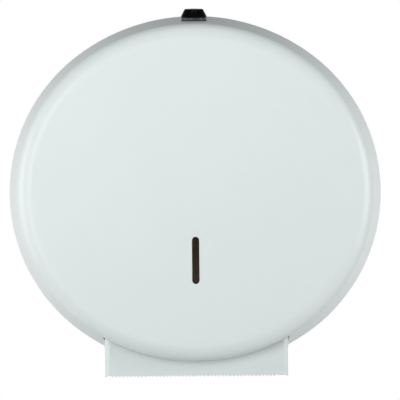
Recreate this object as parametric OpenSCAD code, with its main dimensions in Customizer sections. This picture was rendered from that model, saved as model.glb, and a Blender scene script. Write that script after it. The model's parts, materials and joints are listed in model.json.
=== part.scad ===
// Jumbo toilet roll dispenser: oval sheet steel cover on a wall plate.
// Origin: on the wall, on the roll's axis. +Z is up, the front faces -Y.

/* [Cover] */
// Width of the cover's rim
cover_w = 342; // [320:1:380]
// How much lower than wide the cover's rim is
cover_squat = 17.6; // [2:0.2:30]
// Front face to wall
cover_d = 125; // [122:1:145]
// Sheet thickness of the cover
cover_sheet = 1.2; // [0.8:0.1:1.6]
// How far the side wall leans in towards the front
cover_draft = 7; // [5:0.25:8]
// Outer radius between side wall and face
edge_r = 14.5; // [10:0.5:17]
// Rim to wall
rim_gap = 3; // [2.6:0.1:4]
// Depth of the lip that is left over the chute, from the face
lip_depth = 14; // [12:0.5:16]

/* [Sight slot] */
// Width of the slot
slot_w = 6.4; // [5:0.1:9]
// Length of the slot, end to end
slot_l = 41.3; // [30:0.1:60]
// Height of the slot's middle below the roll's axis
slot_drop = 59.9; // [50:0.1:80]

/* [Back plate] */
// Sheet thickness of the back plate
plate_sheet = 1.2; // [1:0.1:1.6]
// Back plate's edge to the rim's outline
plate_inset = 3.4; // [3:0.1:5]
// Depth of the back plate's flange, from the wall
flange_d = 12; // [8:0.5:13]
// Lower ends of the flange, above the rim's lowest point
flange_end_rise = 67.2; // [62:0.1:100]
// Wall holes, side to side
wall_hole_dx = 150; // [120:1:180]
// Wall holes, up and down
wall_hole_dz = 170; // [140:1:190]
// Diameter of a wall hole
wall_hole_dia = 6.5; // [5:0.5:8]

/* [Paper chute] */
// Outer width of the chute
chute_w = 162; // [150:1:170]
// Cover's face to the chute's front
chute_setback = 22; // [20:0.5:28]
// Sheet thickness of the chute
chute_sheet = 1.2; // [1:0.1:1.6]
// Outer radius of the chute's upright bends
chute_bend_r = 4.5; // [3:0.25:6]
// Top edge of the cheeks, above the rim's lowest point
cheek_rise = 40.2; // [37:0.1:44]
// Middle of the front's top edge, above the rim's lowest point
chute_mid_rise = 26.2; // [24:0.1:30]
// Where that edge leaves the cheeks' height, from the chute's side
shoulder_outer = 11; // [8:0.5:16]
// Where that edge reaches its middle height, from the chute's side
shoulder_inner = 31; // [29:0.5:40]
// Tearing edge below the rim's lowest point
tear_drop = 0.1; // [0:0.1:6]
// Pitch of the teeth
tooth_pitch = 3.25; // [2.5:0.05:5]
// Depth of a tooth
tooth_depth = 1.1; // [0.6:0.1:2]
// Plain edge left of the front teeth
front_plain_left = 5; // [5:0.5:12]
// Plain edge right of the front teeth, at least
front_plain_right = 10.5; // [5:0.5:12]
// Plain edge behind the cheeks' teeth, at least
cheek_plain = 12; // [4:0.5:30]
// Width of the flanges that hold the chute to the back plate
foot_w = 12; // [10:0.5:16]
// Lower end of those flanges, above the rim's lowest point
foot_rise = 8.2; // [4:0.1:12]
// Rivets to the ends of those flanges
foot_rivet_inset = 6.5; // [5:0.5:9]

/* [Hinge] */
// Hinge axis to wall
hinge_d = 12; // [11:0.5:14]
// Hinge axis above the rim's lowest corner
hinge_rise = 5; // [3.5:0.25:5]
// Diameter of a hinge pin
pin_dia = 5; // [4:0.5:6]
// Head diameter of a hinge pin
pin_head_dia = 9; // [8:0.5:11]
// Thickness of a hinge pin's head
pin_head_h = 1.8; // [1.4:0.1:2.4]
// Thickness of the washer between cheek and ear
hinge_washer_h = 1; // [0.6:0.1:1.4]
// Radius of a hinge ear
ear_r = 6.5; // [6:0.25:8]
// Thickness of a hinge ear
ear_sheet = 1.5; // [1.2:0.1:2]

/* [Roll spindle] */
// Diameter of the spindle
spindle_dia = 12; // [10:0.5:14]
// Spindle's tip to the cover's sheet
tip_room = 10.8; // [4:0.1:14]
// Spindle's tip to the retaining clip
tip_stub = 2.4; // [1.5:0.1:4]
// Chamfer of the spindle's tip
tip_chamfer = 1; // [0.5:0.1:1.5]
// Diameter of the spindle base
base_dia = 64; // [58:1:76]
// Thickness of the spindle base's flange
base_t = 2; // [1.5:0.25:3]
// Diameter of the spindle base's boss
boss_dia = 22; // [20:1:26]
// Boss's end to wall
boss_d = 9; // [8:0.5:10]
// Thickness of the conical brake washer's sheet
brake_sheet = 0.6; // [0.4:0.1:0.8]
// Height of the conical brake washer
brake_h = 1.3; // [1.1:0.1:1.6]
// Diameter of the brake washer and the friction washer
brake_dia = 24; // [22:0.5:28]
// Thickness of the friction washer
friction_h = 1.5; // [1:0.25:2]
// Diameter of the front washer
front_washer_dia = 20; // [18:0.5:24]
// Thickness of the front washer
front_washer_h = 1; // [0.8:0.1:1.5]
// Thickness of the retaining clip
clip_h = 1; // [0.8:0.1:1.2]
// Depth of the clip's groove
groove_depth = 0.75; // [0.5:0.05:1]
// Diameter of the retaining clip
clip_dia = 17; // [16:0.5:19]

/* [Roll hub] */
// Diameter that carries the roll's core
hub_dia = 44; // [38:1:56]
// Wall of the hub's tube
hub_wall = 2.5; // [2:0.25:4]
// Diameter of the hub's rear collar
hub_collar_dia = 60; // [60:1:72]
// Thickness of the hub's rear collar
hub_collar_t = 3; // [2:0.5:5]
// Length of the hub's end webs and of its bushes
web_l = 12; // [8:1:16]
// Outer diameter of a bush
bush_dia = 17; // [15:0.5:20]
// Chamfer at the hub's front end
hub_chamfer = 1.5; // [0.5:0.1:2.5]

/* [Latch keeper] */
// Sheet thickness of the keeper
keeper_sheet = 1.5; // [1.2:0.1:2]
// Keeper's arm to the lock's axis
keeper_x = 24; // [23.5:0.5:28]
// Gap between the lock's axis and the keeper's hook
hook_x = 12.5; // [12:0.5:14]
// Hook's lower edge below the cam
hook_below = 6.7; // [5:0.1:7]
// Hook's upper edge above the cam
hook_above = 2.3; // [2:0.1:3]
// Lower edge of the keeper's foot below the hook
keeper_drop = 2; // [1:0.1:2.5]
// Upper edge of the keeper's foot above the hook
keeper_rise = 6; // [4:0.5:9]
// Rivets to the ends of the keeper's foot
keeper_rivet_inset = 4; // [3.5:0.25:5]
// Width of the keeper's foot
keeper_foot_w = 14; // [12:0.5:18]

/* [Lock] */
// Lock's axis to wall, where it leaves the cover
lock_d = 75; // [70:1:80]
// Diameter of the lock's collar
collar_dia = 22.6; // [21:0.2:26]
// Thickness of the rubber seal under the collar
seal_h = 0.8; // [0.5:0.1:1.5]
// Thickness of the collar
collar_h = 2.4; // [2:0.1:4]
// Diameter of the threaded barrel
barrel_dia = 16; // [15:0.5:17]
// Length of the barrel below the cover's outer surface
barrel_l = 13.5; // [12:0.5:14]
// Diameter of the lock's turning stem
stem_dia = 9; // [8:0.5:10]
// Base diameter of the lock's head
head_base_dia = 23.4; // [21:0.2:26]
// Top diameter of the lock's head
head_top_dia = 16.4; // [14:0.2:20]
// Height of the lock's head
head_h = 6.8; // [5:0.1:9]
// Depth of the notches in the lock's head
notch_depth = 0.9; // [0.5:0.1:1.2]
// Width of the notches in the lock's head
notch_w = 1.4; // [1:0.1:2]
// Number of notches in the lock's head
notch_count = 8; // [4:1:10]
// Diameter of the well in the lock's head
well_dia = 8; // [6:0.5:10]
// Depth of the well in the lock's head
well_depth = 3; // [2:0.25:4]
// Wall between the well and the notches
well_wall = 1; // [0.6:0.1:2]
// Width of the lock nut across its flats
nut_af = 22; // [20:0.5:23]
// Thickness of the lock nut
nut_h = 4; // [3:0.5:5]
// Outer diameter of the lock washer
lock_washer_dia = 22; // [20:0.5:23]
// Thickness of the lock washer
lock_washer_h = 0.8; // [0.6:0.1:1.2]
// Length of the cam's arm from the lock's axis
cam_l = 20; // [18:0.5:21]
// Width of the cam
cam_w = 10; // [9:0.5:11]
// Thickness of the cam
cam_h = 2; // [1.5:0.25:2.5]
// Side of the stem's square end
square_w = 6; // [5.5:0.25:6.25]
// Head diameter of the cam screw
cam_screw_dia = 8; // [7:0.5:9]
// Head thickness of the cam screw
cam_screw_h = 2; // [1.5:0.25:2.25]
// Shank diameter of the cam screw
cam_screw_shank = 4; // [3:0.5:4.5]
// Length of the cam screw's shank
cam_screw_l = 7.8; // [5:0.1:9]
// Cam's round end beyond its arm's sides
cam_eye = 1; // [0.5:0.25:2]

/* [Fasteners and buffers] */
// Shank diameter of a rivet
rivet_dia = 4; // [3:0.25:4.5]
// Head diameter of a rivet
rivet_head_dia = 7; // [6:0.5:8]
// Head thickness of a rivet
rivet_head_h = 1.5; // [1:0.1:2]
// Angle of the rim buffers from the top
buffer_angle = 19; // [14:1:26]
// Width of a rim buffer
buffer_w = 12; // [8:1:16]

/* [Fits] */
// Radial clearance of what turns
running = 0.05; // [0.02:0.01:0.1]
// Radial clearance of rivets and pressed pieces in their holes
tight = 0.02; // [0.01:0.01:0.05]
// Gap between faces that slide past each other
side_gap = 0.3; // [0.2:0.05:0.4]

/* [Hidden] */
$fn = 96;
far = 400;

// The rim is a four-arc oval. With centres 1.5 and 2 times the ovality off the middle, the arcs
// meet smoothly on the slope of a 3-4-5 triangle, and every inset of the rim keeps those centres.
cover_h = cover_w - cover_squat;
ovality = cover_squat / 2;
side_centre = 1.5 * ovality;
end_centre = 2 * ovality;
side_r = cover_w / 2 - side_centre;
end_r = cover_h / 2 + end_centre;
junction = atan(4 / 3);
rim_low_z = -cover_h / 2;

// Signed offset of the cover's outer wall from the rim's outline, at a depth from the wall
function wall_offset(d) = -(d - rim_gap) * tan(cover_draft);
// Height of the oval, inset or offset by u, at the side position x
function oval_z(u, x) = sqrt(pow(end_r + u, 2) - x * x) - end_centre;

wall_skin = cover_sheet / cos(cover_draft);
edge_d = cover_d - edge_r;
edge_u = wall_offset(edge_d) - edge_r / cos(cover_draft);
face_band = 2 * edge_r - edge_u;
lip_d = cover_d - lip_depth;

cheek_x = chute_w / 2;
chute_d = cover_d - chute_setback;
cheek_top_z = rim_low_z + cheek_rise;
tear_z = rim_low_z - tear_drop;
foot_low_z = rim_low_z + foot_rise;
foot_x = cheek_x - chute_sheet;
foot_rivet_x = foot_x - foot_w / 2;
foot_rivet_z = [foot_low_z + foot_rivet_inset, cheek_top_z - foot_rivet_inset];
ear_x = cheek_x + hinge_washer_h + 2 * side_gap;
hinge_z = -oval_z(0, ear_x) + hinge_rise;

spindle_tip_d = cover_d - cover_sheet - tip_room;
clip_start = spindle_tip_d - tip_stub - clip_h;
front_washer_start = clip_start - side_gap - front_washer_h;
hub_end = front_washer_start - side_gap;
brake_start = boss_d;
friction_start = brake_start + brake_h;
hub_start = friction_start + friction_h + side_gap;
base_rivet_r = (base_dia + boss_dia) / 4;

lock_z = oval_z(wall_offset(lock_d), 0);
head_low = seal_h + collar_h + side_gap;
stem_low = -barrel_l - side_gap;
cam_low = stem_low - cam_h;
cam_drop = barrel_l + side_gap + cam_h / 2;
cam_z = lock_z - cam_drop * cos(cover_draft);
hook_d = lock_d - cam_drop * sin(cover_draft) + cam_w / 2 + 2 * side_gap;
hook_low_z = cam_z - hook_below;
hook_high_z = cam_z + hook_above;
keeper_low_z = hook_low_z - keeper_drop;
keeper_root_z = hook_high_z + keeper_rise;
keeper_foot_x = keeper_x + keeper_sheet + keeper_foot_w / 2;
keeper_rivet_z = [keeper_low_z + keeper_rivet_inset, keeper_root_z - keeper_rivet_inset];
// The washer meets the curved wall at its two side edges, so it lies lower by the wall's sag
lock_wall_r = end_r + wall_offset(lock_d) - wall_skin;
washer_sag = lock_wall_r - sqrt(pow(lock_wall_r, 2) - pow(lock_washer_dia / 2, 2));
washer_high = -cover_sheet - washer_sag - tight;

// Turns a profile (radius, depth) about an axis that runs along the depth
module depth_turn(start = 0, angle = 360)
    rotate([90, 0, 0]) rotate_extrude(start = start, angle = angle) children();

// Sweeps a profile (offset from the rim's outline, depth) once around the oval
module oval_sweep() {
    for (s = [-1, 1]) {
        translate([s * side_centre, 0, 0])
            depth_turn(start = s > 0 ? -junction : 180 - junction, angle = 2 * junction)
                translate([side_r, 0]) children();
        translate([0, 0, -s * end_centre])
            depth_turn(start = s > 0 ? junction : 180 + junction, angle = 180 - 2 * junction)
                translate([end_r, 0]) children();
    }
}

// The oval's outline as a face, inset from the rim
module oval_face(inset) intersection() {
    translate([0, end_centre]) circle(end_r - inset);
    translate([0, -end_centre]) circle(end_r - inset);
    union() {
        for (s = [-1, 1]) translate([s * side_centre, 0]) circle(side_r - inset);
        square([2 * (side_centre + (side_r - inset) * cos(junction)), far], center = true);
    }
}

// Extrudes a face drawn in x and z between two depths
module depth_plate(from, to)
    rotate([90, 0, 0]) translate([0, 0, from]) linear_extrude(to - from) children();

// Extrudes a face drawn in depth and z between two side positions
module side_plate(from, to) translate([to, 0, 0]) rotate([90, 0, -90]) linear_extrude(to - from) children();

// A round bar along the depth
module depth_bar(r, from, to) depth_plate(from, to) circle(r);

// A round bar along x
module side_bar(r, from, to) translate([from, 0, 0]) rotate([0, 90, 0]) cylinder(r = r, h = to - from);

module both_sides() {
    children();
    mirror([1, 0, 0]) children();
}

module ring(outer, inner) difference() {
    circle(outer);
    circle(inner);
}

// Places along the rim's upper arc, with z as the arc's radius
module at_rim(angle) translate([0, 0, -end_centre]) rotate([0, angle, 0]) children();

module at_hinge() translate([0, -hinge_d, hinge_z]) children();

// The lock stands square on the cover's sloping wall, with z = 0 on the wall's outer surface
module at_lock() translate([0, -lock_d, lock_z]) rotate([cover_draft, 0, 0]) children();

module each_foot_rivet() both_sides() for (z = foot_rivet_z) translate([foot_rivet_x, 0, z]) children();

module each_base_rivet() for (a = [45:90:315])
    translate([base_rivet_r * cos(a), 0, base_rivet_r * sin(a)]) children();

module each_keeper_rivet() for (z = keeper_rivet_z) translate([keeper_foot_x, 0, z]) children();

module rivet(top) {
    depth_bar(rivet_dia / 2, 0, top);
    rotate([90, 0, 0]) translate([0, 0, top])
        cylinder(h = rivet_head_h, d1 = rivet_head_dia, d2 = 0.6 * rivet_head_dia);
}

module rivet_hole() depth_bar(rivet_dia / 2 + tight, -rivet_dia, 2 * rivet_dia);

// The cover's sheet in section: side wall, edge and the outer band of the face
module cover_profile() {
    lean = [cos(cover_draft), sin(cover_draft)];
    middle = [edge_u, edge_d];
    polygon([
        [0, rim_gap], middle + edge_r * lean,
        middle + (edge_r - cover_sheet) * lean, [-wall_skin, rim_gap]
    ]);
    translate(middle) intersection() {
        ring(edge_r, edge_r - cover_sheet);
        polygon([[0, 0], 2 * edge_r * lean, 2 * edge_r * [1, 1], 2 * edge_r * [0, 1]]);
    }
    translate([-face_band, cover_d - cover_sheet]) square([face_band + edge_u, cover_sheet]);
}

module cover_shell() color("whitesmoke") difference() {
    union() {
        oval_sweep() cover_profile();
        depth_plate(cover_d - cover_sheet, cover_d) oval_face(face_band);
        both_sides() at_hinge() side_bar(ear_r, ear_x, ear_x + ear_sheet);
    }
    translate([-ear_x, -lip_d, -cover_h]) cube([2 * ear_x, lip_d, cover_h + cheek_top_z]);
    translate([0, 0, -slot_drop]) depth_plate(cover_d - 2 * cover_sheet, cover_d + cover_sheet) {
        square([slot_w, slot_l - slot_w], center = true);
        for (s = [-1, 1]) translate([0, s * (slot_l - slot_w) / 2]) circle(slot_w / 2);
    }
    at_lock() cylinder(r = barrel_dia / 2 + side_gap, h = 4 * cover_sheet, center = true);
    at_hinge() side_bar(pin_dia / 2 + tight, -cheek_x - far, cheek_x + far);
}

module back_plate() color("gainsboro") difference() {
    union() {
        depth_plate(0, plate_sheet) {
            oval_face(plate_inset);
            translate([-cheek_x, foot_low_z - chute_sheet])
                square([chute_w, cheek_top_z - foot_low_z + chute_sheet]);
        }
        difference() {
            oval_sweep() translate([-plate_inset - plate_sheet, 0]) square([plate_sheet, flange_d]);
            translate([-far, -far, -far]) cube([2 * far, 2 * far, far + rim_low_z + flange_end_rise]);
        }
        for (s = [-1, 1]) at_rim(s * buffer_angle)
            translate([-buffer_w / 2, -plate_sheet, end_r - 2 * plate_inset])
                cube([buffer_w, plate_sheet, 2 * plate_inset - side_gap]);
    }
    for (x = [-1, 1], z = [-1, 1]) translate([x * wall_hole_dx / 2, 0, z * wall_hole_dz / 2])
        depth_bar(wall_hole_dia / 2, -plate_sheet, 2 * plate_sheet);
    each_foot_rivet() rivet_hole();
    each_base_rivet() rivet_hole();
    each_keeper_rivet() rivet_hole();
}

// A row of teeth that point down, from a start along the edge
function teeth(from, count) = [
    for (i = [0:count - 1]) each [
        [from + i * tooth_pitch, tear_z], [from + (i + 0.5) * tooth_pitch, tear_z - tooth_depth]
    ]
];

module paper_chute() color("whitesmoke") {
    flat_x = cheek_x - chute_bend_r;
    flat_d = chute_d - chute_bend_r;
    front_teeth = floor((chute_w - front_plain_left - front_plain_right) / tooth_pitch);
    cheek_teeth = floor((flat_d - plate_sheet - cheek_plain) / tooth_pitch);
    teeth_end = -cheek_x + front_plain_left + front_teeth * tooth_pitch;
    mid_z = rim_low_z + chute_mid_rise;
    difference() {
        union() {
            depth_plate(chute_d - chute_sheet, chute_d) polygon(concat(
                [[-flat_x, cheek_top_z], [-flat_x, tear_z]],
                teeth(-cheek_x + front_plain_left, front_teeth),
                [[teeth_end, tear_z], [flat_x, tear_z], [flat_x, cheek_top_z]],
                [[cheek_x - shoulder_outer, cheek_top_z], [cheek_x - shoulder_inner, mid_z]],
                [[shoulder_inner - cheek_x, mid_z], [shoulder_outer - cheek_x, cheek_top_z]]
            ));
            both_sides() {
                side_plate(cheek_x - chute_sheet, cheek_x) polygon(concat(
                    [[plate_sheet, cheek_top_z], [plate_sheet, tear_z]],
                    teeth(flat_d - cheek_teeth * tooth_pitch, cheek_teeth),
                    [[flat_d, tear_z], [flat_d, cheek_top_z]]
                ));
                translate([flat_x, -flat_d, tear_z]) linear_extrude(cheek_top_z - tear_z) intersection() {
                    ring(chute_bend_r, chute_bend_r - chute_sheet);
                    translate([0, -chute_bend_r]) square(chute_bend_r);
                }
                depth_plate(plate_sheet, plate_sheet + chute_sheet) translate([foot_x - foot_w, foot_low_z])
                    square([foot_w + chute_sheet, cheek_top_z - foot_low_z]);
            }
        }
        at_hinge() side_bar(pin_dia / 2 + running, -far, far);
        each_foot_rivet() rivet_hole();
    }
}

module chute_rivets() color("silver") each_foot_rivet() rivet(plate_sheet + chute_sheet);

module spindle_base() color("silver") difference() {
    bore = spindle_dia / 2 + tight;
    depth_turn() polygon([
        [bore, plate_sheet], [base_dia / 2, plate_sheet], [base_dia / 2, plate_sheet + base_t],
        [boss_dia / 2, plate_sheet + base_t], [boss_dia / 2, boss_d], [bore, boss_d]
    ]);
    each_base_rivet() rivet_hole();
}

module spindle_rivets() color("silver") each_base_rivet() rivet(plate_sheet + base_t);

module spindle_shaft() color("silver") {
    r = spindle_dia / 2;
    groove_r = r - groove_depth;
    depth_turn() polygon([
        [0, plate_sheet], [r, plate_sheet], [r, clip_start - running], [groove_r, clip_start - running],
        [groove_r, clip_start + clip_h + running], [r, clip_start + clip_h + running],
        [r, spindle_tip_d - tip_chamfer], [r - tip_chamfer, spindle_tip_d], [0, spindle_tip_d]
    ]);
}

module brake_washer() color("dimgray") {
    inner = spindle_dia / 2 + side_gap;
    depth_turn() polygon([
        [inner, brake_start], [brake_dia / 2, friction_start - brake_sheet],
        [brake_dia / 2, friction_start], [inner, brake_start + brake_sheet]
    ]);
}

module friction_washer() color("tan")
    depth_plate(friction_start, friction_start + friction_h) ring(brake_dia / 2, spindle_dia / 2 + side_gap);

module roll_hub() color("darkgray") {
    bore = bush_dia / 2 + tight;
    r = hub_dia / 2;
    depth_turn() polygon([
        [bore, hub_start], [hub_collar_dia / 2, hub_start], [hub_collar_dia / 2, hub_start + hub_collar_t],
        [r, hub_start + hub_collar_t], [r, hub_end - hub_chamfer], [r - hub_chamfer, hub_end],
        [bore, hub_end], [bore, hub_end - web_l], [r - hub_wall, hub_end - web_l],
        [r - hub_wall, hub_start + web_l], [bore, hub_start + web_l]
    ]);
}

module hub_bushes() color("ivory") for (d = [hub_start, hub_end - web_l])
    depth_plate(d, d + web_l) ring(bush_dia / 2, spindle_dia / 2 + running);

module front_washer() color("silver") depth_plate(front_washer_start, front_washer_start + front_washer_h)
    ring(front_washer_dia / 2, spindle_dia / 2 + side_gap);

module retaining_clip() color("dimgray") depth_plate(clip_start, clip_start + clip_h) difference() {
    inner = spindle_dia / 2 - groove_depth + tight;
    ring(clip_dia / 2, inner);
    translate([-0.7 * inner, -clip_dia]) square([1.4 * inner, clip_dia]);
}

module keeper_bracket() color("silver") difference() {
    union() {
        side_plate(keeper_x, keeper_x + keeper_sheet) polygon([
            [plate_sheet, keeper_low_z], [plate_sheet, keeper_root_z], [flange_d, keeper_root_z],
            [hook_d / 2, hook_high_z], [hook_d + keeper_sheet, hook_high_z],
            [hook_d + keeper_sheet, hook_low_z], [hook_d / 2, keeper_low_z]
        ]);
        depth_plate(hook_d, hook_d + keeper_sheet) translate([hook_x, hook_low_z])
            square([keeper_x + keeper_sheet - hook_x, hook_high_z - hook_low_z]);
        depth_plate(plate_sheet, plate_sheet + keeper_sheet) translate([keeper_x, keeper_low_z])
            square([keeper_sheet + keeper_foot_w, keeper_root_z - keeper_low_z]);
    }
    each_keeper_rivet() rivet_hole();
}

module keeper_rivets() color("silver") each_keeper_rivet() rivet(plate_sheet + keeper_sheet);

module rim_buffers() color("black") for (s = [-1, 1]) at_rim(s * buffer_angle)
    translate([-buffer_w / 2, side_gap - rim_gap, end_r - plate_inset + side_gap])
        cube([buffer_w, rim_gap - side_gap - plate_sheet, plate_inset - 2 * side_gap]);

module hinge_pins() color("silver") both_sides() at_hinge() {
    head_x = foot_x - side_gap;
    side_bar(pin_dia / 2, head_x, ear_x + ear_sheet);
    side_bar(pin_head_dia / 2, head_x - pin_head_h, head_x);
}

module hinge_washers() color("ivory") both_sides() at_hinge() difference() {
    from = cheek_x + side_gap;
    side_bar(ear_r - ear_sheet, from, from + hinge_washer_h);
    side_bar(pin_dia / 2 + 2 * running, from - hinge_washer_h, from + 2 * hinge_washer_h);
}

// The cover's outer surface around the lock as a solid wedge, in fine steps under the thin seal
module wall_below_lock() {
    from = lock_d - collar_dia;
    to = lock_d + collar_dia;
    reach = end_r + tight;
    translate([0, 0, -end_centre]) depth_turn(start = 90 - junction / 4, angle = junction / 2, $fn = 1440)
        polygon([[0, from], [reach + wall_offset(from), from], [reach + wall_offset(to), to], [0, to]]);
}

module lock_seal() color("dimgray") difference() {
    at_lock() translate([0, 0, -seal_h]) linear_extrude(2 * seal_h)
        ring(collar_dia / 2, barrel_dia / 2 + tight);
    wall_below_lock();
}

module lock_housing() color("dimgray") at_lock() difference() {
    union() {
        translate([0, 0, seal_h]) cylinder(d = collar_dia, h = collar_h);
        translate([0, 0, -barrel_l]) cylinder(d = barrel_dia, h = barrel_l + seal_h + collar_h);
    }
    cylinder(r = stem_dia / 2 + running, h = 3 * barrel_l, center = true);
}

module lock_washer() color("silver") at_lock() translate([0, 0, washer_high - lock_washer_h])
    linear_extrude(lock_washer_h) ring(lock_washer_dia / 2, barrel_dia / 2 + 2 * running);

module lock_nut() color("silver") at_lock() translate([0, 0, washer_high - lock_washer_h - nut_h])
    linear_extrude(nut_h) difference() {
        rotate(30) circle(d = nut_af / cos(30), $fn = 6);
        circle(barrel_dia / 2 + tight);
    }

module lock_head() color("black") at_lock() difference() {
    union() {
        translate([0, 0, head_low]) cylinder(d1 = head_base_dia, d2 = head_top_dia, h = head_h);
        translate([0, 0, stem_low]) cylinder(d = stem_dia, h = head_low - stem_low);
        translate([-square_w / 2, -square_w / 2, cam_low + running])
            cube([square_w, square_w, cam_h]);
    }
    translate([0, 0, head_low + head_h - well_depth]) cylinder(d = well_dia, h = head_h);
    for (i = [0:notch_count - 1]) rotate((i + 0.5) * 360 / notch_count)
        translate([well_dia / 2 + well_wall, -notch_w / 2, head_low + head_h - notch_depth])
            cube([head_base_dia, notch_w, head_h]);
    translate([0, 0, cam_low]) cylinder(r = cam_screw_shank / 2 + tight, h = cam_screw_l + side_gap);
}

module lock_cam() color("silver") at_lock() translate([0, 0, cam_low]) linear_extrude(cam_h) difference() {
    union() {
        circle(cam_w / 2 + cam_eye);
        translate([-cam_w / 2, 0]) square([cam_w, cam_l]);
    }
    square(square_w + 2 * tight, center = true);
}

module cam_screw() color("silver") at_lock() translate([0, 0, cam_low - cam_screw_h]) {
    cylinder(d = cam_screw_dia, h = cam_screw_h);
    cylinder(d = cam_screw_shank, h = cam_screw_h + cam_screw_l);
}

cover_shell();
back_plate();
paper_chute();
chute_rivets();
spindle_base();
spindle_rivets();
spindle_shaft();
brake_washer();
friction_washer();
roll_hub();
hub_bushes();
front_washer();
retaining_clip();
keeper_bracket();
keeper_rivets();
rim_buffers();
hinge_pins();
hinge_washers();
lock_housing();
lock_seal();
lock_washer();
lock_nut();
lock_head();
lock_cam();
cam_screw();
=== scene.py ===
"""Looks of an oval sheet steel dispenser for a jumbo toilet roll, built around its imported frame."""
import json
import math

import bmesh
import bpy
from mathutils import Matrix, Vector


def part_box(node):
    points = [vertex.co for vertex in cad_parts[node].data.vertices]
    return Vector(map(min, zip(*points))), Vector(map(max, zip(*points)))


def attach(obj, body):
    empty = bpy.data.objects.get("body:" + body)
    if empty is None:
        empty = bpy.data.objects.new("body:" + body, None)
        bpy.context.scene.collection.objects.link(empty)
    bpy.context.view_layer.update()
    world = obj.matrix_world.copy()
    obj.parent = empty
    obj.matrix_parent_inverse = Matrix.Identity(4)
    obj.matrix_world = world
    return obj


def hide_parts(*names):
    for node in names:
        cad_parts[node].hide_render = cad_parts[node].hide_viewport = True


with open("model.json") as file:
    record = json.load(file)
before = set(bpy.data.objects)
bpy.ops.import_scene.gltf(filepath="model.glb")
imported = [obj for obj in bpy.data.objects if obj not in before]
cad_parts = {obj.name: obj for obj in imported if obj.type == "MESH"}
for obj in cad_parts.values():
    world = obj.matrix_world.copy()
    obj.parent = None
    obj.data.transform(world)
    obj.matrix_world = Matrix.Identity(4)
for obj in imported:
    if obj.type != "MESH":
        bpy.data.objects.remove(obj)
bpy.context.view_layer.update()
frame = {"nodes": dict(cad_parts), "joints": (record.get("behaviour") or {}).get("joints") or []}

# ---- Camera ------------------------------------------------------------------------------------
# It stands level with the roll's axis and straight in front, 2.4 m from the wall, with a long lens.
# It leans by half a degree, and a small shift sets the dispenser a little up and to the left.
camera_data = bpy.data.cameras.new("camera")
camera_data.lens = 236.5
camera_data.sensor_width = 36
camera_data.shift_x = 0.012
camera_data.shift_y = -0.020
camera = bpy.data.objects.new("camera", camera_data)
camera.location = (0, -2.425, 0)
camera.rotation_euler = (math.radians(90), math.radians(0.46), 0)
bpy.context.scene.collection.objects.link(camera)
bpy.context.scene.camera = camera
bpy.context.scene.view_settings.view_transform = "Standard"


# ---- Studio ------------------------------------------------------------------------------------
# A white surround, dimmer overhead so that the top of the case stays darkest. One tall soft box
# stands left of the camera, one far round on each side for the rounded edges, and a wide one hangs
# above. The pale floor keeps the case's shadow and turns white further out.
def add_node(tree, kind, inputs=None, **settings):
    """Adds a node to a tree. Each input is linked, if its value is a socket, or else set."""
    made = tree.nodes.new(kind)
    for name, value in settings.items():
        setattr(made, name, value)
    for key, value in (inputs or {}).items():
        if isinstance(value, bpy.types.NodeSocket):
            tree.links.new(value, made.inputs[key])
        else:
            made.inputs[key].default_value = value
    return made


def math_node(tree, operation, first, second, third=0):
    """The result of a sum of two or three values or sockets."""
    return add_node(tree, "ShaderNodeMath", {0: first, 1: second, 2: third}, operation=operation).outputs[0]


def ray_kinds(tree):
    """1 for a ray from the camera, and 1 for one that mirrors the surround or shows it through glass."""
    path = add_node(tree, "ShaderNodeLightPath").outputs
    mirrored = math_node(tree, "MAXIMUM", path["Is Glossy Ray"], path["Is Transmission Ray"])
    return path["Is Camera Ray"], mirrored


dimmer_from = 0.02
dimmest_at = 0.45
overhead_level = 0.15
side_level = 0.62
world = bpy.data.worlds.new("studio")
world.use_nodes = True
tree = world.node_tree
tree.nodes.clear()
direction = add_node(tree, "ShaderNodeTexCoord").outputs["Generated"]
upwards = add_node(tree, "ShaderNodeSeparateXYZ", {0: direction})
ceiling = add_node(tree, "ShaderNodeMapRange",
                   {"Value": upwards.outputs["Z"], "From Min": dimmer_from, "From Max": dimmest_at,
                    "To Min": 1, "To Max": overhead_level}, interpolation_type="SMOOTHSTEP")
from_camera, mirrored = ray_kinds(tree)
level = math_node(tree, "MAXIMUM", mirrored, side_level)
shaded = math_node(tree, "MULTIPLY", level, ceiling.outputs[0])
strength = math_node(tree, "MAXIMUM", shaded, from_camera)
surround = add_node(tree, "ShaderNodeBackground", {"Color": (1, 1, 1, 1), "Strength": strength})
add_node(tree, "ShaderNodeOutputWorld", {"Surface": surround.outputs[0]})
bpy.context.scene.world = world


def soft_box(name, side, height, distance, size, power):
    """A rectangular light turned to the case. Its angles are in degrees and its power in watts."""
    data = bpy.data.lights.new(name, "AREA")
    data.shape = "RECTANGLE"
    data.size, data.size_y = size
    data.energy = power
    light = bpy.data.objects.new(name, data)
    turn, rise = math.radians(side), math.radians(height)
    light.location = distance * Vector((math.sin(turn) * math.cos(rise), -math.cos(turn) * math.cos(rise),
                                        math.sin(rise)))
    light.rotation_euler = (-light.location).to_track_quat("-Z", "Y").to_euler()
    light.visible_camera = False
    bpy.context.scene.collection.objects.link(light)


tall_box = (0.6, 1.2)
wide_box = (1.4, 0.8)
soft_box("near_light", -25, 5, 1.8, tall_box, 12.5)
soft_box("left_light", -80, 5, 1.8, tall_box, 9)
soft_box("right_light", 66, 5, 1.8, tall_box, 12.5)
soft_box("top_light", 0, 65, 2.0, wide_box, 7)

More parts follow.
